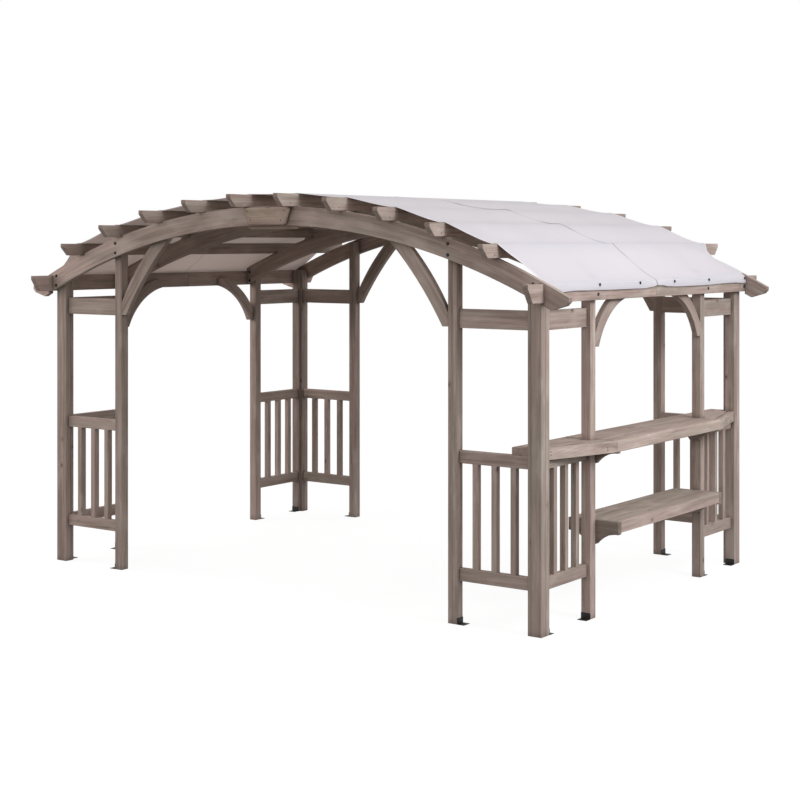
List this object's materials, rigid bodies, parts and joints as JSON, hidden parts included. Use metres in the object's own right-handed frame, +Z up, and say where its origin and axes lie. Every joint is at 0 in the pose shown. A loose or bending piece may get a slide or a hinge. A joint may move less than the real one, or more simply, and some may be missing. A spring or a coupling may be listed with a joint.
{
  "type": "arched pergola",
  "caption": "Timber pergola with bowed arches on L-shaped corner groups, purlins under a cloth canopy, baluster panels, knee braces, and a bar top with a shelf on one side",
  "frame": {"origin": "centre of the footprint, at ground level", "axes": "X along the arches' span, Y from front to back along the purlins, Z up"},
  "size_m": [4.406, 3.152, 2.579],
  "materials": {
    "timber": "weathered grey-brown stain",
    "bracket_steel": "black powder coat",
    "canopy_cloth": "white woven canopy cloth"
  },
  "bodies": {
    "root": {"corner_post_front_left": "timber", "corner_post_front_right": "timber", "corner_post_back_left": "timber", "corner_post_back_right": "timber", "inner_post_front_left": "timber", "inner_post_front_right": "timber", "inner_post_back_left": "timber", "inner_post_back_right": "timber", "side_post_front_left": "timber", "side_post_front_right": "timber", "side_post_back_left": "timber", "side_post_back_right": "timber", "front_panel_left": "timber", "front_panel_right": "timber", "back_panel_left": "timber", "back_panel_right": "timber", "side_panel_front_left": "timber", "side_panel_front_right": "timber", "side_panel_back_left": "timber", "side_panel_back_right": "timber", "top_rails_front_left": "timber", "top_rails_front_right": "timber", "top_rails_back_left": "timber", "top_rails_back_right": "timber", "front_arch": "timber", "inner_front_arch": "timber", "inner_back_arch": "timber", "back_arch": "timber", "crown_plates": "timber", "eave_beam_left": "timber", "eave_beam_right": "timber", "crown_purlins": "timber", "second_purlins": "timber", "third_purlins": "timber", "fourth_purlins": "timber", "outer_purlins": "timber", "arch_braces": "timber", "side_braces": "timber", "bar_top": "timber", "bar_edge_boards": "timber", "lower_shelf": "timber", "lower_shelf_edge": "timber", "corbels": "timber", "foot_brackets": "bracket_steel", "canopy": "canopy_cloth"}
  },
  "joints": []
}
